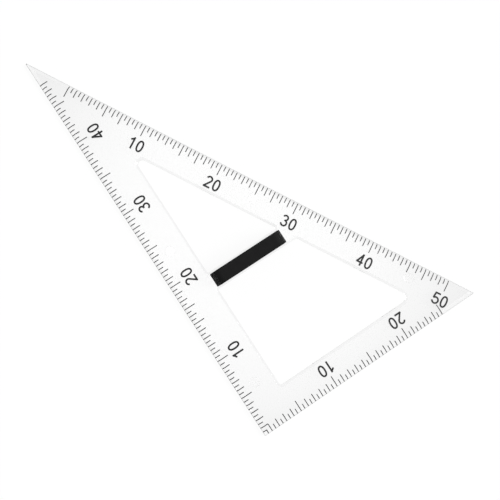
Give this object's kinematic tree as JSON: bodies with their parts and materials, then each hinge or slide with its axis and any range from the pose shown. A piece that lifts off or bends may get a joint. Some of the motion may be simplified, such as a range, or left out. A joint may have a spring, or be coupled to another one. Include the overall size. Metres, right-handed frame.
{
  "type": "magnetic board set square",
  "caption": "Large clear right-angled triangle with bevelled edges, printed centimetre scales, a black bow handle on a bridge and magnets that hold it on a steel writing board.",
  "frame": {"origin": "on the board plane under the middle of the bounding box; the pads' lower faces lie in z = 0", "axes": "+X along the short leg away from the right angle, +Y along the long leg away from the right angle, +Z off the board towards the handle"},
  "size_m": [0.2956, 0.5114, 0.0272],
  "materials": {
    "clear_acrylic": "polished clear acrylic sheet",
    "black_print": "screen printed ink",
    "black_plastic": "moulded ABS with a fine satin texture",
    "zinc_steel": "bright zinc plated steel",
    "nickel": "nickel plated magnet",
    "clear_rubber": "clear soft polyurethane"
  },
  "bodies": {
    "root": {"clear_plate": "clear_acrylic", "hypotenuse_ticks": "black_print", "hypotenuse_numbers": "black_print", "long_leg_ticks": "black_print", "long_leg_numbers": "black_print", "short_leg_ticks": "black_print", "short_leg_numbers": "black_print", "handle": "black_plastic", "handle_screws": "zinc_steel", "magnet_left": "nickel", "magnet_right": "nickel", "pad_long_leg_low": "clear_rubber", "pad_long_leg_high": "clear_rubber", "pad_hypotenuse_low": "clear_rubber", "pad_hypotenuse_high": "clear_rubber"}
  },
  "joints": []
}
